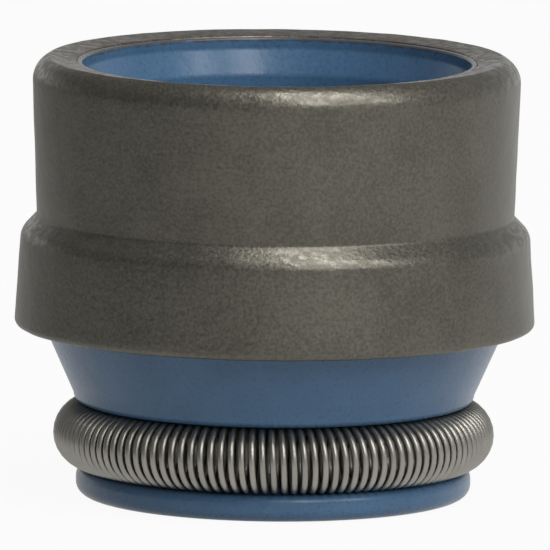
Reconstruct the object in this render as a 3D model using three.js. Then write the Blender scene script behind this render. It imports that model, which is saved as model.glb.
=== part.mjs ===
// A valve stem seal, standing on its lip end with the open guide end up, in millimetres.
//
// A drawn and stepped steel case carries a rubber body that is moulded into it. The upper part of the
// body grips the outside of an engine's valve guide, and the lower part ends in a lip that wipes oil
// off the valve stem. A garter spring, one long close coil whose ends screw into each other, lies in a
// groove round the lip and keeps it on the stem.
//
// The axis of the seal is Z. The origin is the centre of the flat lip end that it stands on.

import * as THREE from "three";

// Steel case
const CASE_BOTTOM_Z = 5.46; // trimmed lower edge of the sheet
const CASE_TOP_Z = 14.09; // crease round the rim, the highest circle of the seal
const SHEET_THICKNESS = 0.82;
const BAND_LOWER_RADIUS = 8.34; // outside of the wide band at the trimmed edge
const BAND_UPPER_RADIUS = 8.14; // outside of the band under its shoulder
const SHOULDER_LOWER_Z = 8.5;
const SHOULDER_UPPER_Z = 9.02;
const NECK_LOWER_RADIUS = 7.64; // outside of the neck above the shoulder
const NECK_UPPER_RADIUS = 7.82; // outside of the neck under the turned-in rim
const RIM_HOLE_RADIUS = 6.4; // hole that is left in the turned-in rim
const RIM_CREASE_RADIUS = 7.28; // where the flat of the rim ends and the bend starts
const RIM_FALL = 0.12; // how far the flat falls from the crease to the hole
const RIM_BEND_SLOPE = THREE.MathUtils.degToRad(18.4); // of the bend where it leaves the crease
const RIM_BEND_RADIUS = 0.76; // outside of the bend between neck and rim
const RIM_INNER_BEND_RADIUS = 0.15;
const SHOULDER_BEND_RADIUS = 0.55;
const NECK_ROOT_RADIUS = 0.12; // hollow corner where the neck meets the shoulder
const TRIM_EDGE_RADIUS = 0.2; // tumbled outer edge of the trimmed sheet
const TRIM_BURR_RADIUS = 0.06; // inner edges of the sheet, broken lightly
const RIM_HOLE_EDGE_RADIUS = 0.08;

// Garter spring
const WIRE_DIAMETER = 0.23;
const COIL_DIAMETER = 2.16; // outside of the coil
const SPRING_CENTRE_RADIUS = 5.99; // from the seal's axis to the middle of the coil
const SPRING_CENTRE_Z = 1.97;
const TURN_GAP = 0.0125; // between turns, on the inside of the ring
const NIB_TURNS = 5; // narrow end turns that screw into the first turns
const NIB_CLEARANCE = 0.03;
const JOIN_ANGLE = Math.PI / 2; // the ends meet at the back

// Rubber body
const BOND_GAP = 0.015; // between steel and rubber
const SEAT_GAP = 0.02; // between the spring and its groove
const LIP_FLANGE_RADIUS = 6.32; // flange that keeps the spring from sliding off the lip
const LIP_FLANGE_EDGE_RADIUS = 0.4;
const GROOVE_EDGE_RADIUS = 0.08;
const CONE_LOWER_RADIUS = 6.42; // also the upper edge of the spring's groove
const CONE_LOWER_Z = 3.3;
const CONE_STEP = 0.12; // flat ring of rubber between the sheet and the top of the cone
const LIP_RADIUS = 3.2; // sealing edge, a little smaller than the stem
const LIP_LAND = 0.15; // height of the sealing edge
const LIP_ABOVE_SPRING = 0.05; // middle of the sealing edge above the middle of the spring
const LIP_MOUTH_RADIUS = 4.3; // opening in the flat lip end
const LIP_MOUTH_EDGE_RADIUS = 0.15;
const STEM_PASSAGE_RADIUS = 4.3;
const STEM_PASSAGE_LOWER_Z = 3.3;
const GUIDE_STOP_Z = 6.3; // the end of the valve guide comes down to here
const GUIDE_STOP_CORNER_RADIUS = 0.4;
const STEM_PASSAGE_EDGE_RADIUS = 0.2;
const GUIDE_SEAT_RADIUS = 5.9;
const GRIP_RIB_HEIGHT = 0.2;
const GRIP_RIB_WIDTH = 0.9; // at its foot
const GRIP_RIB_CREST_WIDTH = 0.3;
const GRIP_RIB_COUNT = 3;
const GRIP_RIB_PITCH = 1.55;
const LOWEST_RIB_Z = 7.9;
const MOUTH_SKIN_THICKNESS = 0.165; // rubber that lines the rim's hole
const MOUTH_BELOW_RIM = 0.03; // from the edge of the rim's hole down to the end of the skin
const MOUTH_EDGE_RADIUS = 0.08;
const MOUTH_WALL_HEIGHT = 0.36; // upright part of the mouth, above its lead-in
const LEAD_IN_HEIGHT = 0.8;

// How finely round things are cut
const SEGMENTS_AROUND = 48;
const FILLET_STEP = THREE.MathUtils.degToRad(32);
const STEPS_PER_TURN = 8;
const WIRE_SIDES = 4;

const STEEL = { color: 0x5e5b53, roughness: 0.42, metalness: 0.9 };
const RUBBER = { color: 0x3f5f86, roughness: 0.55, metalness: 0 };
const SPRING_STEEL = { color: 0x8d8a83, roughness: 0.35, metalness: 0.95 };

const point = (radius, z, round = 0) => ({ at: new THREE.Vector2(radius, z), round });

// The corners of an open outline moved sideways, to the right of the way that the outline runs. Each
// bend keeps its centre, so an outer bend of the sheet gets tighter inside and a hollow one wider.
function moveOutline(corners, distance) {
  const rightOf = (from, to) => {
    const along = to.at.clone().sub(from.at).normalize();
    return new THREE.Vector2(along.y, -along.x);
  };
  return corners.map((corner, i) => {
    const before = i > 0 ? rightOf(corners[i - 1], corner) : null;
    const after = i < corners.length - 1 ? rightOf(corner, corners[i + 1]) : null;
    const first = before ?? after;
    const second = after ?? before;
    const shift = first.clone().add(second).multiplyScalar(distance / (1 + first.dot(second)));
    const turnsRight = first.cross(second) < 0;
    const round = corner.round + (turnsRight ? -distance : distance);
    const place = corner.at.clone().add(shift);
    return point(place.x, place.y, corner.round > 0 ? Math.max(round, 0) : 0);
  });
}

// The points of a closed outline, with an arc at each corner that has a radius.
function roundedOutline(corners) {
  const points = [];
  corners.forEach((corner, i) => {
    const previous = corners[(i + corners.length - 1) % corners.length];
    const next = corners[(i + 1) % corners.length];
    if (corner.round === 0) {
      points.push(corner.at.clone());
      return;
    }
    const back = previous.at.clone().sub(corner.at).normalize();
    const ahead = next.at.clone().sub(corner.at).normalize();
    const halfAngle = Math.acos(THREE.MathUtils.clamp(back.dot(ahead), -1, 1)) / 2;
    const bisector = back.clone().add(ahead).normalize();
    const centre = corner.at.clone().addScaledVector(bisector, corner.round / Math.sin(halfAngle));
    const reach = corner.round / Math.tan(halfAngle);
    const start = corner.at.clone().addScaledVector(back, reach).sub(centre);
    const sweep = (Math.PI - 2 * halfAngle) * Math.sign(ahead.cross(back));
    const steps = Math.max(1, Math.ceil(Math.abs(sweep) / FILLET_STEP));
    for (let k = 0; k <= steps; k += 1) {
      const arm = start.clone().rotateAround(new THREE.Vector2(), (sweep * k) / steps);
      points.push(arm.add(centre));
    }
  });
  return points;
}

// A closed outline in radius and height, turned round the Z axis.
function turned(outline) {
  const closed = [...outline, outline[0].clone()];
  return new THREE.LatheGeometry(closed, SEGMENTS_AROUND).rotateX(Math.PI / 2);
}

function named(name, geometry, finish) {
  const mesh = new THREE.Mesh(geometry, new THREE.MeshStandardMaterial(finish));
  mesh.name = name;
  return mesh;
}

// The outside of the neck and the band, from the shoulder's upper corner to the trimmed edge.
function belowNeck() {
  return [
    point(NECK_LOWER_RADIUS, SHOULDER_UPPER_Z, NECK_ROOT_RADIUS),
    point(BAND_UPPER_RADIUS, SHOULDER_LOWER_Z, SHOULDER_BEND_RADIUS),
    point(BAND_LOWER_RADIUS, CASE_BOTTOM_Z),
  ];
}

// The outside of the sheet, from the hole in the rim out and down to the trimmed edge. The press
// leaves a crease between the flat of the rim and the bend.
function caseOutside() {
  const bendFall = (NECK_UPPER_RADIUS - RIM_CREASE_RADIUS) * Math.tan(RIM_BEND_SLOPE);
  return [
    point(RIM_HOLE_RADIUS, CASE_TOP_Z - RIM_FALL),
    point(RIM_CREASE_RADIUS, CASE_TOP_Z),
    point(NECK_UPPER_RADIUS, CASE_TOP_Z - bendFall, RIM_BEND_RADIUS),
    ...belowNeck(),
  ];
}

// The inside of the sheet, or a skin that lies at some clearance inside it. Its ends stay level with
// the trimmed edge and upright under the rim's hole.
function caseInside(clearance) {
  const rimSlope = RIM_FALL / (RIM_CREASE_RADIUS - RIM_HOLE_RADIUS);
  const rimLineZ = CASE_TOP_Z + (NECK_UPPER_RADIUS - RIM_CREASE_RADIUS) * rimSlope;
  const bend = RIM_INNER_BEND_RADIUS + SHEET_THICKNESS;
  const sheet = [
    point(RIM_HOLE_RADIUS, CASE_TOP_Z - RIM_FALL),
    point(NECK_UPPER_RADIUS, rimLineZ, bend),
    ...belowNeck(),
  ];
  const inside = moveOutline(sheet, SHEET_THICKNESS + clearance);
  inside[0].at.x = RIM_HOLE_RADIUS;
  inside[inside.length - 1].at.y = CASE_BOTTOM_Z;
  return inside;
}

function steelCase() {
  const outside = caseOutside();
  const inside = caseInside(0).reverse();
  outside[0].round = RIM_HOLE_EDGE_RADIUS;
  outside[outside.length - 1].round = TRIM_EDGE_RADIUS;
  inside[0].round = TRIM_BURR_RADIUS;
  inside[inside.length - 1].round = TRIM_BURR_RADIUS;
  return named("steel_case", turned(roundedOutline([...outside, ...inside]).reverse()), STEEL);
}

// The half-open groove under the spring, from its lower edge round the inside to its upper edge.
function springGroove() {
  const radius = COIL_DIAMETER / 2 + SEAT_GAP;
  const openBelow = Math.acos((LIP_FLANGE_RADIUS - SPRING_CENTRE_RADIUS) / radius);
  const openAbove = Math.acos((CONE_LOWER_RADIUS - SPRING_CENTRE_RADIUS) / radius);
  const sweep = 2 * Math.PI - openBelow - openAbove;
  const steps = Math.ceil(sweep / FILLET_STEP);
  const corners = [];
  for (let k = 0; k <= steps; k += 1) {
    const angle = -openBelow - (sweep * k) / steps;
    const isEdge = k === 0 || k === steps;
    // a chord cuts inside the arc, so the points between the edges stand a little outside it
    const reach = isEdge ? radius : radius / Math.cos(sweep / steps / 2);
    const x = SPRING_CENTRE_RADIUS + reach * Math.cos(angle);
    const z = SPRING_CENTRE_Z + reach * Math.sin(angle);
    corners.push(point(x, z, isEdge ? GROOVE_EDGE_RADIUS : 0));
  }
  return corners;
}

// Low rounded ribs that grip the valve guide, from the highest down.
function gripRibs() {
  const crest = GUIDE_SEAT_RADIUS - GRIP_RIB_HEIGHT;
  const corners = [];
  for (let rib = GRIP_RIB_COUNT - 1; rib >= 0; rib -= 1) {
    const z = LOWEST_RIB_Z + rib * GRIP_RIB_PITCH;
    corners.push(point(GUIDE_SEAT_RADIUS, z + GRIP_RIB_WIDTH / 2));
    corners.push(point(crest, z + GRIP_RIB_CREST_WIDTH / 2));
    corners.push(point(crest, z - GRIP_RIB_CREST_WIDTH / 2));
    corners.push(point(GUIDE_SEAT_RADIUS, z - GRIP_RIB_WIDTH / 2));
  }
  return corners;
}

// The end of the skin in the rim's hole, and the bore from there down to the opening in the lip end.
function rubberBore() {
  const skinRadius = RIM_HOLE_RADIUS - BOND_GAP;
  const mouthRadius = skinRadius - MOUTH_SKIN_THICKNESS;
  const mouthZ = CASE_TOP_Z - RIM_FALL - MOUTH_BELOW_RIM;
  const leadInZ = mouthZ - MOUTH_WALL_HEIGHT;
  const lipZ = SPRING_CENTRE_Z + LIP_ABOVE_SPRING;
  return [
    point(skinRadius, mouthZ),
    point(mouthRadius, mouthZ, MOUTH_EDGE_RADIUS),
    point(mouthRadius, leadInZ),
    point(GUIDE_SEAT_RADIUS, leadInZ - LEAD_IN_HEIGHT),
    ...gripRibs(),
    point(GUIDE_SEAT_RADIUS, GUIDE_STOP_Z, GUIDE_STOP_CORNER_RADIUS),
    point(STEM_PASSAGE_RADIUS, GUIDE_STOP_Z, STEM_PASSAGE_EDGE_RADIUS),
    point(STEM_PASSAGE_RADIUS, STEM_PASSAGE_LOWER_Z),
    point(LIP_RADIUS, lipZ + LIP_LAND / 2),
    point(LIP_RADIUS, lipZ - LIP_LAND / 2),
    point(LIP_MOUTH_RADIUS, 0, LIP_MOUTH_EDGE_RADIUS),
  ];
}

function rubberBody() {
  const inCase = caseInside(BOND_GAP);
  inCase[0].at.x = RIM_HOLE_RADIUS - BOND_GAP;
  const coneTopRadius = inCase[inCase.length - 1].at.x - CONE_STEP;
  const outline = [
    point(LIP_FLANGE_RADIUS, 0, LIP_FLANGE_EDGE_RADIUS),
    ...springGroove(),
    point(CONE_LOWER_RADIUS, CONE_LOWER_Z),
    point(coneTopRadius, CASE_BOTTOM_Z),
    ...inCase.reverse(),
    ...rubberBore(),
  ];
  return named("rubber_body", turned(roundedOutline(outline)), RUBBER);
}

// The middle of the spring's wire. It runs once round the ring in full turns, narrows over the last
// one, and goes on inside the first turns as the nib.
class GarterCoil extends THREE.Curve {
  constructor() {
    super();
    this.coilRadius = (COIL_DIAMETER - WIRE_DIAMETER) / 2;
    this.nibRadius = this.coilRadius - WIRE_DIAMETER - NIB_CLEARANCE;
    const innerLength = 2 * Math.PI * (SPRING_CENTRE_RADIUS - this.coilRadius);
    this.ringTurns = Math.floor(innerLength / (WIRE_DIAMETER + TURN_GAP));
    this.turns = this.ringTurns + NIB_TURNS;
  }

  getPoint(share, target = new THREE.Vector3()) {
    const turn = share * this.turns;
    const narrowing = THREE.MathUtils.smoothstep(turn, this.ringTurns - 1, this.ringTurns);
    const coilRadius = THREE.MathUtils.lerp(this.coilRadius, this.nibRadius, narrowing);
    const inCoil = 2 * Math.PI * turn;
    const inRing = JOIN_ANGLE + (2 * Math.PI * turn) / this.ringTurns;
    const radius = SPRING_CENTRE_RADIUS + coilRadius * Math.cos(inCoil);
    const z = SPRING_CENTRE_Z - coilRadius * Math.sin(inCoil);
    return target.set(radius * Math.cos(inRing), radius * Math.sin(inRing), z);
  }

  // Points are spaced by turn and not by length, so that neighbouring turns have their corners in line.
  getUtoTmapping(share) {
    return share;
  }
}

function garterSpring() {
  const wire = new THREE.Shape();
  wire.absarc(0, 0, WIRE_DIAMETER / 2, 0, 2 * Math.PI);
  const coil = new GarterCoil();
  const geometry = new THREE.ExtrudeGeometry(wire, {
    extrudePath: coil,
    steps: coil.turns * STEPS_PER_TURN,
    curveSegments: WIRE_SIDES / 2, // a full circle gets two sides for each
    bevelEnabled: false,
  });
  return named("garter_spring", geometry, SPRING_STEEL);
}

const seal = new THREE.Group();
seal.name = "valve_stem_seal";
seal.add(steelCase(), rubberBody(), garterSpring());

export default seal;
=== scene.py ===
# %% [markdown]
# # A valve stem seal
#
# A valve stem seal sits on the end of a valve guide in an engine and wipes oil off the stem of the
# valve. It has three pieces: a drawn steel case, a rubber body that is moulded into it, and a garter
# spring, a ring of close-wound wire that presses the rubber lip on the stem.
#
# This lesson builds all three. Two of them are turned shapes, and half a section spun round the axis
# makes each of them. The third is a coil, so a wire is spun along a screw line and laid in a ring.
#
# Blender works in metres. A seal is only 16.7 mm across, so each section is drawn in millimetres, where
# Blender's tools round nothing away, and is scaled once at the end.

# %% The tools, and the model that the looks are built round
import math

import bmesh
import bpy
from mathutils import Matrix, Vector, noise


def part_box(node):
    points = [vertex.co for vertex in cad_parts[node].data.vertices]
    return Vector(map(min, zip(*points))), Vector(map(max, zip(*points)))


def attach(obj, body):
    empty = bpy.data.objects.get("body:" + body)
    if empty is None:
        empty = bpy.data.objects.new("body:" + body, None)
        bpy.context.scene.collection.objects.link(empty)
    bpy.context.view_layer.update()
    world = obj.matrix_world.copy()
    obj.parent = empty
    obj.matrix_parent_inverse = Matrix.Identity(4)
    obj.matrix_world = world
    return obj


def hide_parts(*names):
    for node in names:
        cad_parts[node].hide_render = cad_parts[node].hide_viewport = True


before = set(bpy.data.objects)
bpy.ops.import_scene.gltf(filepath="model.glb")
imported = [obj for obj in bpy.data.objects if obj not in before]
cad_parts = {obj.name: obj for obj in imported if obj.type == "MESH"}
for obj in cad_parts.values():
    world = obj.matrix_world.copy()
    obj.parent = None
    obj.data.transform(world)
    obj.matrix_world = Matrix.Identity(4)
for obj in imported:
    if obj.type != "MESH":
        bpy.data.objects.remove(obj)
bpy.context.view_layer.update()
MM = 0.001

case_low, case_high = (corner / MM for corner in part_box("steel_case"))
body_low, body_high = (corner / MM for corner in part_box("rubber_body"))
spring_low, spring_high = (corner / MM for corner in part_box("garter_spring"))
print("case", case_low, case_high, "body", body_low, body_high, "spring", spring_low, spring_high)

# %% [markdown]
# ## The camera first
#
# The photograph was taken from a little above the rim with a long lens, so the ring of the rim is a
# flat ellipse and upright walls stay nearly parallel. A camera far away with a very long lens does the
# same. One pixel of the photograph's 550 is 0.032 mm on the seal, and that ties the lens to the
# distance. Further away than about 0.8 m the lens gets so long that a camera moved round the seal
# stands past its own clipping distance and sees nothing. Angles are in degrees.

# %% Camera
FRAME_PIXELS = 550
MM_PER_PIXEL = 0.032
CAMERA_DISTANCE = 0.6
CAMERA_ELEVATION = 7.95
CAMERA_ROLL = 0.55
AIM_HEIGHT = 7.075 * MM
SENSOR_WIDTH = 36.0


def direction(azimuth, elevation):
    """A unit vector to a place round the seal. Azimuth 0 is the camera's side, and 90 its right."""
    side = math.radians(azimuth)
    up = math.radians(elevation)
    return Vector((math.sin(side) * math.cos(up), -math.cos(side) * math.cos(up), math.sin(up)))


def add_camera():
    lens = bpy.data.cameras.new("camera")
    lens.sensor_width = SENSOR_WIDTH
    lens.lens = SENSOR_WIDTH * CAMERA_DISTANCE / (FRAME_PIXELS * MM_PER_PIXEL * MM)
    lens.clip_start = 0.01
    lens.clip_end = 10.0
    camera = bpy.data.objects.new("camera", lens)
    aim = Vector((0, 0, AIM_HEIGHT))
    away = direction(0, CAMERA_ELEVATION)
    camera.location = aim + away * CAMERA_DISTANCE
    level = away.to_track_quat("Z", "Y").to_matrix()
    camera.rotation_euler = (level @ Matrix.Rotation(math.radians(CAMERA_ROLL), 3, "Z")).to_euler()
    bpy.context.scene.collection.objects.link(camera)
    bpy.context.scene.camera = camera
    print("lens", round(lens.lens), "mm at", CAMERA_DISTANCE, "m")


add_camera()

# %% [markdown]
# ## From half a section to a turned shape
#
# A turned or drawn part is fully told by half of its section, as on a workshop drawing. The corners of
# the section become one flat face, a vertex bevel rounds each corner by its own radius, and a spin
# round the Z axis makes the shell. Long straight stretches are cut into short edges first. That keeps
# the shading of a bend from bleeding over the flat beside it, and gives the surface points that can be
# moved a little.

# %% Helpers for turned shapes
FILLET_SEGMENTS = 8
ROUND_STEPS = 288
SECTORS = 12
SHARP_ANGLE = math.radians(38)
SEAM = 1e-4


def corner_reach(before, corner, after, radius):
    """How far along its two edges an arc of that radius starts from a corner."""
    back = (before - corner).normalized()
    ahead = (after - corner).normalized()
    return radius / math.tan(back.angle(ahead) / 2)


def section_mesh(corners):
    """A flat face in the XZ plane, from corners that are (radius, height, corner radius)."""
    section = bmesh.new()
    places = [Vector((x, 0.0, z)) for x, z, _ in corners]
    verts = [section.verts.new(place) for place in places]
    section.faces.new(verts)
    for i, (x, z, rounding) in enumerate(corners):
        if rounding > 0:
            reach = corner_reach(places[i - 1], places[i], places[(i + 1) % len(places)], rounding)
            bmesh.ops.bevel(section, geom=[verts[i]], offset=reach, offset_type="ABSOLUTE",
                            segments=FILLET_SEGMENTS, profile=0.5, affect="VERTICES", material=-1,
                            clamp_overlap=True)
    return section


def cut_long_edges(section, longest):
    for edge in list(section.edges):
        cuts = math.ceil(edge.calc_length() / longest) - 1
        if cuts > 0:
            bmesh.ops.subdivide_edges(section, edges=[edge], cuts=cuts)


def copy_pattern(shape, move, copies):
    """Repeats a whole shape that many times, and lets move(verts, number) place each copy."""
    first = shape.verts[:] + shape.edges[:] + shape.faces[:]
    for number in range(1, copies):
        made = bmesh.ops.duplicate(shape, geom=first)["geom"]
        move([item for item in made if isinstance(item, bmesh.types.BMVert)], number)
    bmesh.ops.remove_doubles(shape, verts=shape.verts, dist=SEAM)


def spin_round(section):
    """Turns a flat section round the Z axis. A spin slows down as it grows, so it makes one sector."""
    bmesh.ops.delete(section, geom=list(section.faces), context="FACES_ONLY")
    bmesh.ops.spin(section, geom=section.verts[:] + section.edges[:], cent=(0, 0, 0), axis=(0, 0, 1),
                   angle=math.tau / SECTORS, steps=ROUND_STEPS // SECTORS, use_duplicate=False)

    def turn(verts, number):
        around = Matrix.Rotation(math.tau * number / SECTORS, 3, "Z")
        bmesh.ops.rotate(section, cent=(0, 0, 0), matrix=around, verts=verts)

    copy_pattern(section, turn, SECTORS)
    bmesh.ops.recalc_face_normals(section, faces=section.faces)


def roughen(shape, size, depth, seed):
    """Moves each point along its normal by smooth noise, as tumbling and moulding leave a surface."""
    shape.normal_update()
    offset = Vector((seed, 2 * seed, 3 * seed))
    moves = [(vert, vert.normal * noise.noise(vert.co / size + offset) * depth) for vert in shape.verts]
    for vert, move in moves:
        vert.co += move


def finish_piece(shape, name, node, material):
    """Scales a shape to metres, makes it an object, and puts it in the place of its CAD node."""
    bmesh.ops.scale(shape, vec=(MM, MM, MM), verts=shape.verts)
    shape.normal_update()
    for face in shape.faces:
        face.smooth = True
    for edge in shape.edges:
        edge.smooth = edge.is_manifold and edge.calc_face_angle() < SHARP_ANGLE
    mesh = bpy.data.meshes.new(name)
    shape.to_mesh(mesh)
    shape.free()
    piece = bpy.data.objects.new(name, mesh)
    bpy.context.scene.collection.objects.link(piece)
    mesh.materials.append(material)
    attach(piece, "root")
    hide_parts(node)
    print(name, "has", len(mesh.polygons), "faces")


# %% [markdown]
# ## Materials as arithmetic
#
# A material is a small sum of patterns: a noise for the grain, another for larger clouds, and a mix of
# two colours between them. One class wraps the output of a node, so that such a sum can be written as
# plain arithmetic, and one method adds any other node.

# %% A graph of shader nodes
class Signal:
    """The output of a node, which can be used in a sum as a number can."""

    def __init__(self, graph, socket):
        self.graph = graph
        self.socket = socket

    def __add__(self, other):
        return self.graph.math("ADD", self, other)

    __radd__ = __add__

    def __sub__(self, other):
        return self.graph.math("SUBTRACT", self, other)

    def __rsub__(self, other):
        return self.graph.math("SUBTRACT", other, self)

    def __mul__(self, other):
        return self.graph.math("MULTIPLY", self, other)

    __rmul__ = __mul__


class Graph:
    """The nodes of one material or of the world."""

    def __init__(self, owner):
        owner.use_nodes = True
        self.tree = owner.node_tree
        self.tree.nodes.clear()

    def node(self, kind, settings=None, sockets=None, output=0):
        made = self.tree.nodes.new(kind)
        for name, value in (settings or {}).items():
            if name == "stops":
                self.set_stops(made.color_ramp, value)
            else:
                setattr(made, name, value)
        for name, value in (sockets or {}).items():
            if isinstance(value, Signal):
                self.tree.links.new(value.socket, made.inputs[name])
            else:
                made.inputs[name].default_value = value
        return Signal(self, made.outputs[output]) if made.outputs else made

    def set_stops(self, ramp, stops):
        while len(ramp.elements) < len(stops):
            ramp.elements.new(1.0)
        for element, (place, level) in zip(ramp.elements, stops):
            element.position = place
            element.color = (level, level, level, 1.0)

    def math(self, operation, first, second):
        return self.node("ShaderNodeMath", {"operation": operation}, {0: first, 1: second})

    def mix(self, share, first, second):
        """A colour between two others."""
        return self.node("ShaderNodeMix", {"data_type": "RGBA"}, {0: share, 6: first, 7: second}, output=2)

    def place(self):
        return self.node("ShaderNodeTexCoord", output="Object")

    def noise(self, size, detail=2.0, stretch=(1, 1, 1)):
        """Smooth noise from 0 to 1 whose features are about that many millimetres across."""
        spot = self.node("ShaderNodeMapping", {}, {"Vector": self.place(), "Scale": stretch})
        return self.node("ShaderNodeTexNoise", {}, {
            "Vector": spot, "Scale": 1 / (size * MM), "Detail": detail})

    def part(self, vector, axis):
        """One of the three numbers of a vector."""
        return self.node("ShaderNodeSeparateXYZ", {}, {"Vector": vector}, output=axis)

    def along(self, axis):
        """The place along one axis of the piece, in millimetres."""
        return self.part(self.place(), axis) * (1 / MM)

    def ray(self, kind):
        """1 for light rays of that kind and 0 for all others."""
        return self.node("ShaderNodeLightPath", output=f"Is {kind} Ray")

    def from_axis(self):
        """The distance from the seal's own axis, in millimetres."""
        flat = self.node("ShaderNodeMapping", {}, {"Vector": self.place(), "Scale": (1 / MM, 1 / MM, 0)})
        return self.node("ShaderNodeVectorMath", {"operation": "LENGTH"}, {0: flat}, output="Value")

    def rise(self, value, start, end):
        """A soft step, from 0 at start to 1 at end."""
        return self.node("ShaderNodeMapRange", {"interpolation_type": "SMOOTHSTEP"}, {
            "Value": value, "From Min": start, "From Max": end})

    def ramp(self, value, stops):
        return self.node("ShaderNodeValToRGB", {"stops": stops}, {"Fac": value})

    def bump(self, height, depth, under=None):
        """A normal from a height of 0 to 1 that stands for that many millimetres."""
        sockets = {"Height": height, "Distance": depth * MM, "Strength": 1.0}
        if under:
            sockets["Normal"] = under
        return self.node("ShaderNodeBump", {}, sockets)

    def surface(self, **sockets):
        shader = self.node("ShaderNodeBsdfPrincipled", {}, {
            name.replace("_", " "): value for name, value in sockets.items()})
        self.node("ShaderNodeOutputMaterial", {}, {"Surface": shader})


def colour(red, green, blue):
    """A colour as a screen shows it, from 0 to 255, as the linear colour that a shader takes."""
    def linear(level):
        share = level / 255
        return share / 12.92 if share <= 0.04045 else ((share + 0.055) / 1.055) ** 2.4
    return (linear(red), linear(green), linear(blue), 1.0)


# %% [markdown]
# ## The steel case
#
# The case is drawn from flat sheet in steps. A wide band runs round the lower half, a rounded shoulder
# leads to the narrower neck, and the rim is turned in over the rubber. After drawing, the cases are
# tumbled and phosphated in bulk, which leaves a dark grey satin with a fine grain and rubs the bends
# brighter. The lighter colour on the bend of the rim and on the shoulder is that wear and also a painted
# sheen, put where the windows' highlights fall.

# %% Steel finish
STEEL_DARK = colour(88, 85, 77)
STEEL_LIGHT = colour(108, 105, 96)
# Wear and painted sheen: a lighter colour for the bends, where the windows' highlights fall.
STEEL_RUBBED_AND_SHEEN = colour(140, 137, 127)
STEEL_STAINED = colour(92, 76, 66)
RIM_WEAR_AND_SHEEN = (case_high.z - 0.75, case_high.z - 0.45)
SHOULDER_WEAR_AND_SHEEN = (8.15, 8.45)
NECK_PLAIN = (8.85, 9.05)
STAIN_RADII = (6.6, 6.95)
STAIN_HEIGHTS = (13.6, 13.8)
WEAR_AND_SHEEN_SHARE = 0.15


def steel_material():
    steel = bpy.data.materials.new("phosphated_steel")
    graph = Graph(steel)
    grain = graph.noise(0.1, detail=3.0)
    clouds = graph.noise(2.2, detail=2.0)
    dimples = graph.noise(0.3, detail=2.0, stretch=(1, 1, 1.6))
    height = graph.along("Z")
    on_rim_bend = graph.rise(height, *RIM_WEAR_AND_SHEEN)
    on_shoulder = graph.rise(height, *SHOULDER_WEAR_AND_SHEEN) * (1 - graph.rise(height, *NECK_PLAIN))
    bends = on_rim_bend + on_shoulder
    # Painted sheen as well as wear: the rim bend and the shoulder, where the highlights fall, get a
    # lighter colour in dimpled patches.
    wear_and_sheen = bends * graph.ramp(dimples, [(0.4, 0.0), (0.62, 1.0)])
    near_hole = (1 - graph.rise(graph.from_axis(), *STAIN_RADII)) * graph.rise(height, *STAIN_HEIGHTS)
    stains = near_hole * graph.ramp(graph.noise(0.25, detail=3.0), [(0.4, 0.0), (0.6, 1.0)])
    tone = graph.ramp(clouds * 0.3 + grain * 0.7, [(0.38, 0.0), (0.62, 1.0)])
    plain = graph.mix(tone, STEEL_DARK, STEEL_LIGHT)
    worn_and_sheened = graph.mix(wear_and_sheen * WEAR_AND_SHEEN_SHARE, plain, STEEL_RUBBED_AND_SHEEN)
    waves = graph.bump(dimples, 0.013)
    graph.surface(
        Base_Color=graph.mix(stains, worn_and_sheened, STEEL_STAINED),
        Metallic=0.85,
        Roughness=0.42 + (grain - 0.5) * 0.3 - wear_and_sheen * 0.12,
        Normal=graph.bump(grain, 0.007, under=waves),
    )
    return steel


# %% Case
SHEET = 0.82
SHOULDER_LOWER = 8.5
SHOULDER_UPPER = 9.02
BAND_UPPER_RADIUS = 8.14
NECK_LOWER_RADIUS = 7.64
NECK_UPPER_RADIUS = 7.82
RIM_HOLE_RADIUS = 6.4
RIM_CREASE_RADIUS = 7.28
RIM_CREASE = 0.05
RIM_FALL = 0.12
RIM_BEND_SLOPE = math.radians(18.4)
RIM_BEND = 0.76
RIM_INNER_BEND = 0.15
SHOULDER_BEND = 0.55
NECK_ROOT = 0.12
TRIM_EDGE = 0.2
TRIM_BURR = 0.06
RIM_EDGE = 0.06
BAND_LOWER_RADIUS = 8.34
CASE_EDGE_LENGTH = 0.2


def moved_sideways(corners, distance):
    """An open outline moved to the right of the way that it runs, with the same centres of bend."""
    moved = []
    for i, (x, z, bend) in enumerate(corners):
        here = Vector((x, z))
        sides = []
        for start, end in ((i - 1, i), (i, i + 1)):
            if start >= 0 and end < len(corners):
                along = (Vector(corners[end][:2]) - Vector(corners[start][:2])).normalized()
                sides.append(Vector((along.y, -along.x)))
        first, second = sides[0], sides[-1]
        place = here + (first + second) * (distance / (1 + first.dot(second)))
        turns_right = first.x * second.y - first.y * second.x < 0
        new_bend = max(bend + (-distance if turns_right else distance), 0.0) if bend > 0 else 0.0
        moved.append((place.x, place.y, new_bend))
    return moved


BELOW_NECK = [
    (NECK_LOWER_RADIUS, SHOULDER_UPPER, NECK_ROOT),
    (BAND_UPPER_RADIUS, SHOULDER_LOWER, SHOULDER_BEND),
    (BAND_LOWER_RADIUS, case_low.z, TRIM_EDGE),
]


def case_outside():
    """The outside of the sheet, from the hole in the rim over the crease to the trimmed lower edge."""
    bend_fall = (NECK_UPPER_RADIUS - RIM_CREASE_RADIUS) * math.tan(RIM_BEND_SLOPE)
    return [
        (RIM_HOLE_RADIUS, case_high.z - RIM_FALL, RIM_EDGE),
        (RIM_CREASE_RADIUS, case_high.z, RIM_CREASE),
        (NECK_UPPER_RADIUS, case_high.z - bend_fall, RIM_BEND),
        *BELOW_NECK,
    ]


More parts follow.
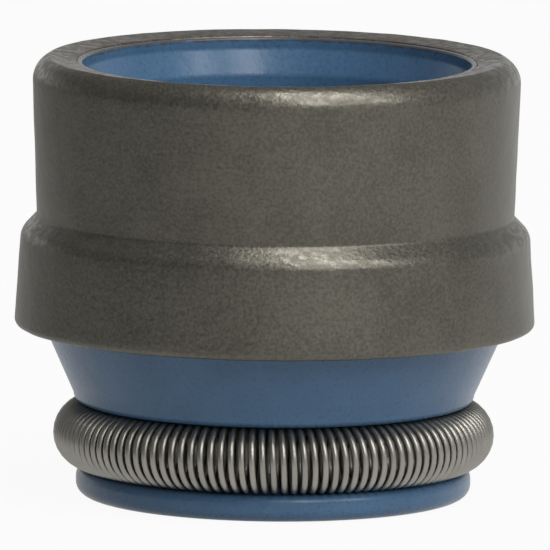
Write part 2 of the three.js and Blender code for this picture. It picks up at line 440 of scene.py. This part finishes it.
def case_inside(clearance):
    """The inside of the sheet, or the skin of rubber that lies at that clearance inside it."""
    rim_slope = RIM_FALL / (RIM_CREASE_RADIUS - RIM_HOLE_RADIUS)
    rim_line = case_high.z + (NECK_UPPER_RADIUS - RIM_CREASE_RADIUS) * rim_slope
    sheet = [
        (RIM_HOLE_RADIUS, case_high.z - RIM_FALL, 0),
        (NECK_UPPER_RADIUS, rim_line, RIM_INNER_BEND + SHEET),
        *BELOW_NECK,
    ]
    inside = moved_sideways(sheet, SHEET + clearance)
    inside[0] = (RIM_HOLE_RADIUS, inside[0][1], TRIM_BURR)
    inside[-1] = (inside[-1][0], case_low.z, TRIM_BURR)
    return inside


def add_case():
    section = section_mesh(case_outside() + case_inside(0)[::-1])
    cut_long_edges(section, CASE_EDGE_LENGTH)
    spin_round(section)
    roughen(section, size=0.9, depth=0.012, seed=3)
    finish_piece(section, "case_of_drawn_steel", "steel_case", steel_material())


add_case()

# %% [markdown]
# ## The rubber body
#
# The rubber is moulded inside the case, so its outside follows the inside of the sheet. Below the case
# it narrows in a cone to the groove for the spring, and ends in a flange that keeps the spring from
# sliding off. The inside holds three low ribs that grip the valve guide, a step that the guide's end
# stops on, and the sharp lip that wipes the stem.

# %% Rubber finish
RUBBER_DARK = colour(61, 94, 126)
RUBBER_LIGHT = colour(74, 109, 142)
# A darker, browner colour for a ragged band round the top edge of the rubber, next to the steel rim.
RUBBER_TOP_EDGE_DARK = colour(72, 68, 64)
TOP_EDGE_DARK_HEIGHTS = (body_high.z - 0.16, body_high.z - 0.06)
TOP_EDGE_DARK_SHARE = 0.85
TOP_EDGE_RAGGEDNESS = 0.3


def rubber_material():
    rubber = bpy.data.materials.new("blue_rubber")
    graph = Graph(rubber)
    grain = graph.noise(0.12, detail=3.0)
    clouds = graph.noise(2.4, detail=2.0)
    waves = graph.noise(0.9, detail=2.0)
    tone = graph.ramp(clouds * 0.5 + grain * 0.5, [(0.35, 0.0), (0.65, 1.0)])
    plain = graph.mix(tone, RUBBER_DARK, RUBBER_LIGHT)
    # The rubber turns darker and browner in a ragged band at its top edge, next to the steel rim.
    ragged = graph.along("Z") + (graph.noise(0.3, detail=3.0) - 0.5) * TOP_EDGE_RAGGEDNESS
    at_rim = graph.rise(ragged, *TOP_EDGE_DARK_HEIGHTS)
    graph.surface(
        Base_Color=graph.mix(at_rim * TOP_EDGE_DARK_SHARE, plain, RUBBER_TOP_EDGE_DARK),
        Specular_IOR_Level=0.42,
        Roughness=0.3 + (grain - 0.5) * 0.2,
        Normal=graph.bump(grain, 0.005, under=graph.bump(waves, 0.02)),
    )
    return rubber


# %% Body
BOND_GAP = 0.015
SEAT_GAP = 0.02
FLANGE_EDGE = 0.4
GROOVE_EDGE = 0.3
GROOVE_FULLNESS = 0.98
LIP_RADIUS = 3.2
LIP_LAND = 0.15
LIP_EDGE = 0.02
LIP_ABOVE_SPRING = 0.05
LIP_MOUTH_RADIUS = 4.3
LIP_MOUTH_EDGE = 0.15
STEM_PASSAGE_RADIUS = 4.3
STEM_PASSAGE_LOWER = 3.3
GUIDE_STOP = 6.3
GUIDE_STOP_CORNER = 0.4
STEM_PASSAGE_EDGE = 0.2
STEM_PASSAGE_BEND = 0.3
GUIDE_SEAT_RADIUS = 5.9
GUIDE_SEAT_BEND = 0.4
GRIP_RIB_HEIGHT = 0.2
GRIP_RIB_WIDTH = 0.9
GRIP_RIB_CREST = 0.3
GRIP_RIB_BEND = 0.25
GRIP_RIB_COUNT = 3
GRIP_RIB_PITCH = 1.55
LOWEST_RIB = 7.9
MOUTH_SKIN = 0.165
MOUTH_WALL = 0.36
LEAD_IN = 0.8
LEAD_IN_BEND = 0.3
MOUTH_EDGE = 0.08
FLANGE_RADIUS = 6.32
CONE_LOWER_RADIUS = 6.42
CONE_LOWER = 3.3
CONE_STEP = 0.12
CONE_BEND = 0.15
CONE_TOP_EDGE = 0.05
BODY_EDGE_LENGTH = 0.4

spring_middle = (spring_low.z + spring_high.z) / 2
coil_radius = (spring_high.z - spring_low.z) / 2
ring_radius = spring_high.x - coil_radius


def spring_groove():
    """A round-bottomed groove from its lower edge, round the inside, to its upper edge."""
    seat = coil_radius + SEAT_GAP
    depth = ring_radius - seat
    low = spring_middle - math.sqrt(seat ** 2 - (FLANGE_RADIUS - ring_radius) ** 2)
    high = spring_middle + math.sqrt(seat ** 2 - (CONE_LOWER_RADIUS - ring_radius) ** 2)
    return [
        (FLANGE_RADIUS, low, GROOVE_EDGE),
        (ring_radius, spring_middle - seat, 0),
        (depth, spring_middle - seat, GROOVE_FULLNESS * seat),
        (depth, spring_middle + seat, GROOVE_FULLNESS * seat),
        (ring_radius, spring_middle + seat, 0),
        (CONE_LOWER_RADIUS, high, GROOVE_EDGE),
    ]


def grip_ribs():
    """The ribs that grip the guide, from the highest down."""
    crest = GUIDE_SEAT_RADIUS - GRIP_RIB_HEIGHT
    corners = []
    for rib in reversed(range(GRIP_RIB_COUNT)):
        z = LOWEST_RIB + rib * GRIP_RIB_PITCH
        corners += [
            (GUIDE_SEAT_RADIUS, z + GRIP_RIB_WIDTH / 2, GRIP_RIB_BEND),
            (crest, z + GRIP_RIB_CREST / 2, GRIP_RIB_BEND),
            (crest, z - GRIP_RIB_CREST / 2, GRIP_RIB_BEND),
            (GUIDE_SEAT_RADIUS, z - GRIP_RIB_WIDTH / 2, GRIP_RIB_BEND),
        ]
    return corners


def body_bore():
    """The mouth, the socket for the guide, the stop, the stem's passage and the lip, downwards."""
    skin = RIM_HOLE_RADIUS - BOND_GAP
    mouth = skin - MOUTH_SKIN
    lead_in_top = body_high.z - MOUTH_WALL
    lip = spring_middle + LIP_ABOVE_SPRING
    return [
        (skin, body_high.z, 0),
        (mouth, body_high.z, MOUTH_EDGE),
        (mouth, lead_in_top, LEAD_IN_BEND),
        (GUIDE_SEAT_RADIUS, lead_in_top - LEAD_IN, GUIDE_SEAT_BEND),
        *grip_ribs(),
        (GUIDE_SEAT_RADIUS, GUIDE_STOP, GUIDE_STOP_CORNER),
        (STEM_PASSAGE_RADIUS, GUIDE_STOP, STEM_PASSAGE_EDGE),
        (STEM_PASSAGE_RADIUS, STEM_PASSAGE_LOWER, STEM_PASSAGE_BEND),
        (LIP_RADIUS, lip + LIP_LAND / 2, LIP_EDGE),
        (LIP_RADIUS, lip - LIP_LAND / 2, LIP_EDGE),
        (LIP_MOUTH_RADIUS, body_low.z, LIP_MOUTH_EDGE),
    ]


def add_body():
    in_case = case_inside(BOND_GAP)
    in_case[0] = (RIM_HOLE_RADIUS - BOND_GAP, in_case[0][1], 0)
    in_case[-1] = (in_case[-1][0], case_low.z, 0)
    corners = [
        (FLANGE_RADIUS, body_low.z, FLANGE_EDGE),
        *spring_groove(),
        (CONE_LOWER_RADIUS, CONE_LOWER, CONE_BEND),
        (in_case[-1][0] - CONE_STEP, case_low.z, CONE_TOP_EDGE),
        *in_case[::-1],
        *body_bore(),
    ]
    section = section_mesh(corners)
    cut_long_edges(section, BODY_EDGE_LENGTH)
    spin_round(section)
    finish_piece(section, "body_of_blue_rubber", "rubber_body", rubber_material())


add_body()

# %% [markdown]
# ## The garter spring
#
# A garter spring is wound straight, turn against turn, from thin wire. Its last turns are narrower and
# screw into the first ones, which closes the ring. The same steps make it here. A circle of wire is
# spun along a screw line into a straight coil. Then the coil is laid round the ring: each ring of
# points keeps its own shape and only turns with the coil, so the wire stays round and the turns open
# on the outside as they do on the real spring.

# %% Wire finish
WIRE_DARK = colour(136, 133, 126)
WIRE_LIGHT = colour(168, 165, 158)


def wire_material():
    wire = bpy.data.materials.new("spring_wire")
    graph = Graph(wire)
    grain = graph.noise(0.05, detail=2.0)
    clouds = graph.noise(0.8, detail=2.0)
    graph.surface(
        Base_Color=graph.mix(clouds, WIRE_DARK, WIRE_LIGHT),
        Metallic=1.0,
        Roughness=0.38 + (grain - 0.5) * 0.16,
        Normal=graph.bump(grain, 0.002),
    )
    return wire


# %% Spring
WIRE = 0.23
RING_TURNS = 130
NIB_TURNS = 5
NIB_CLEARANCE = 0.03
JOIN_ANGLE = math.pi / 2
STEPS_PER_TURN = 28
WIRE_SIDES = 10


def straight_coil(pitch, radius):
    """Wire wound round the X axis from x = 0: one turn is spun, and its copies follow it."""
    coil = bmesh.new()
    bmesh.ops.create_circle(coil, segments=WIRE_SIDES, radius=WIRE / 2, cap_ends=False)
    bmesh.ops.translate(coil, vec=(0, radius, 0), verts=coil.verts)
    bmesh.ops.spin(coil, geom=coil.verts[:] + coil.edges[:], cent=(0, 0, 0), axis=(1, 0, 0),
                   dvec=(pitch / STEPS_PER_TURN, 0, 0), angle=-math.tau, steps=STEPS_PER_TURN,
                   use_duplicate=False)

    def follow(verts, number):
        bmesh.ops.translate(coil, vec=(number * pitch, 0, 0), verts=verts)

    copy_pattern(coil, follow, RING_TURNS + NIB_TURNS)
    ends = [edge for edge in coil.edges if edge.is_boundary]
    bmesh.ops.holes_fill(coil, edges=ends, sides=WIRE_SIDES)
    bmesh.ops.recalc_face_normals(coil, faces=coil.faces)
    return coil


def smooth_step(value):
    share = min(max(value, 0.0), 1.0)
    return share * share * (3 - 2 * share)


def lay_in_ring(coil, pitch, radius):
    """Bends the straight coil round the Z axis, and narrows its last turns to the nib."""
    nib_radius = radius - WIRE - NIB_CLEARANCE
    for vert in coil.verts:
        phase = -math.atan2(vert.co.z, vert.co.y) / math.tau
        turn = phase + round(vert.co.x / pitch - phase)
        narrowing = (radius - nib_radius) * smooth_step(turn - (RING_TURNS - 1))
        around = Vector((vert.co.y, vert.co.z))
        y, z = around - around.normalized() * narrowing
        angle = JOIN_ANGLE + math.tau * turn / RING_TURNS
        outward = Vector((math.cos(angle), math.sin(angle), 0))
        along = Vector((-math.sin(angle), math.cos(angle), 0))
        vert.co = outward * (ring_radius + y) + along * (vert.co.x - turn * pitch)
        vert.co.z = spring_middle + z


def add_spring():
    radius = coil_radius - WIRE / 2
    pitch = math.tau * ring_radius / RING_TURNS
    coil = straight_coil(pitch, radius)
    lay_in_ring(coil, pitch, radius)
    finish_piece(coil, "spring_of_wound_wire", "garter_spring", wire_material())


add_spring()

# %% [markdown]
# ## Light and background
#
# The seal stands on white paper that bends up a little way behind it. Two tall windows light it from
# the front and the right. The rest of the room is dim. That is what makes the front of the steel dark
# and its outer edges light: the front mirrors the room, and the edges mirror the paper. The windows
# show as bright patches on the bend of the rim, and as one soft patch inside the blue mouth.

# %% World, floor and lamps
ROOM_LEFT_LEVEL = 0.2
ROOM_RIGHT_LEVEL = 0.5
CEILING_LEVEL = 0.28
PAPER_LEVEL = 0.8
PAPER_BACK = (0.25, 0.85)
PAPER_TOP = (0.18, 0.36)
ROOM_TURN = (-0.8, 0.8)
CEILING_TURN = (0.4, 0.9)


def set_world():
    world = bpy.data.worlds.new("studio")
    bpy.context.scene.world = world
    graph = Graph(world)
    way = graph.node("ShaderNodeTexCoord", output="Generated")
    rightwards = graph.part(way, "X")
    backwards = graph.part(way, "Y")
    upwards = graph.part(way, "Z")
    paper = graph.rise(backwards, *PAPER_BACK) * (1 - graph.rise(upwards, *PAPER_TOP))
    walls = graph.rise(rightwards, *ROOM_TURN) * (ROOM_RIGHT_LEVEL - ROOM_LEFT_LEVEL) + ROOM_LEFT_LEVEL
    room = walls - graph.rise(upwards, *CEILING_TURN) * (walls - CEILING_LEVEL)
    level = room + paper * (PAPER_LEVEL - room)
    seen = graph.ray("Camera")
    mirrored = graph.ray("Glossy")
    through = graph.ray("Transmission")
    shown = graph.math("MAXIMUM", level, seen + (mirrored + through) * paper * PAPER_LEVEL)
    sky = graph.node("ShaderNodeBackground", {}, {"Color": (1, 1, 1, 1), "Strength": shown})
    graph.node("ShaderNodeOutputWorld", {}, {"Surface": sky})


FLOOR_SIZE = 3.0
FLOOR_DROP = 0.02 * MM
FLOOR_SHOWN_WHITE = 0.94
WINDOW_LIGHT_EDGE = (-80, 30)


def add_floor():
    paper = bpy.data.materials.new("white_paper")
    graph = Graph(paper)
    seen = graph.ray("Camera")
    mirrored = graph.ray("Glossy")
    through = graph.ray("Transmission")
    lit = graph.node("ShaderNodeBsdfDiffuse", {}, {"Color": (0.5, 0.5, 0.5, 1)})
    white = graph.node("ShaderNodeEmission", {}, {"Color": (1, 1, 1, 1), "Strength": 1.0})
    in_window_light = graph.rise(graph.along("X"), *WINDOW_LIGHT_EDGE)
    shown = (seen + (mirrored + through) * in_window_light) * FLOOR_SHOWN_WHITE
    from_above = graph.node("ShaderNodeMixShader", {}, {0: shown, 1: lit, 2: white})
    from_below = graph.node("ShaderNodeNewGeometry", output="Backfacing")
    clear = graph.node("ShaderNodeBsdfTransparent")
    sides = graph.node("ShaderNodeMixShader", {}, {0: from_below, 1: from_above, 2: clear})
    graph.node("ShaderNodeOutputMaterial", {}, {"Surface": sides})
    sheet = bmesh.new()
    bmesh.ops.create_grid(sheet, x_segments=1, y_segments=1, size=FLOOR_SIZE / 2)
    bmesh.ops.translate(sheet, vec=(0, 0, -FLOOR_DROP), verts=sheet.verts)
    mesh = bpy.data.meshes.new("floor")
    sheet.to_mesh(mesh)
    sheet.free()
    mesh.materials.append(paper)
    floor = bpy.data.objects.new("floor", mesh)
    bpy.context.scene.collection.objects.link(floor)


def add_lamp(name, azimuth, elevation, distance, width, height, level):
    """A long soft light that faces the seal. Its level is how bright its face is, with 1 as white."""
    light = bpy.data.lights.new(name, "AREA")
    light.shape = "RECTANGLE"
    light.size = width
    light.size_y = height
    light.energy = level * math.pi * width * height
    lamp = bpy.data.objects.new(name, light)
    away = direction(azimuth, elevation)
    lamp.location = Vector((0, 0, AIM_HEIGHT)) + away * distance
    lamp.rotation_euler = away.to_track_quat("Z", "Y").to_euler()
    bpy.context.scene.collection.objects.link(lamp)


set_world()
add_floor()
add_lamp("front_window", azimuth=20, elevation=52, distance=0.5, width=0.11, height=0.6, level=7.2)
add_lamp("right_window", azimuth=52, elevation=52, distance=0.5, width=0.08, height=0.6, level=7.4)

# %% [markdown]
# ## Finish
#
# The view transform stays plain, so that a colour renders as it is written.

# %% Finish
bpy.context.scene.view_settings.view_transform = "Standard"
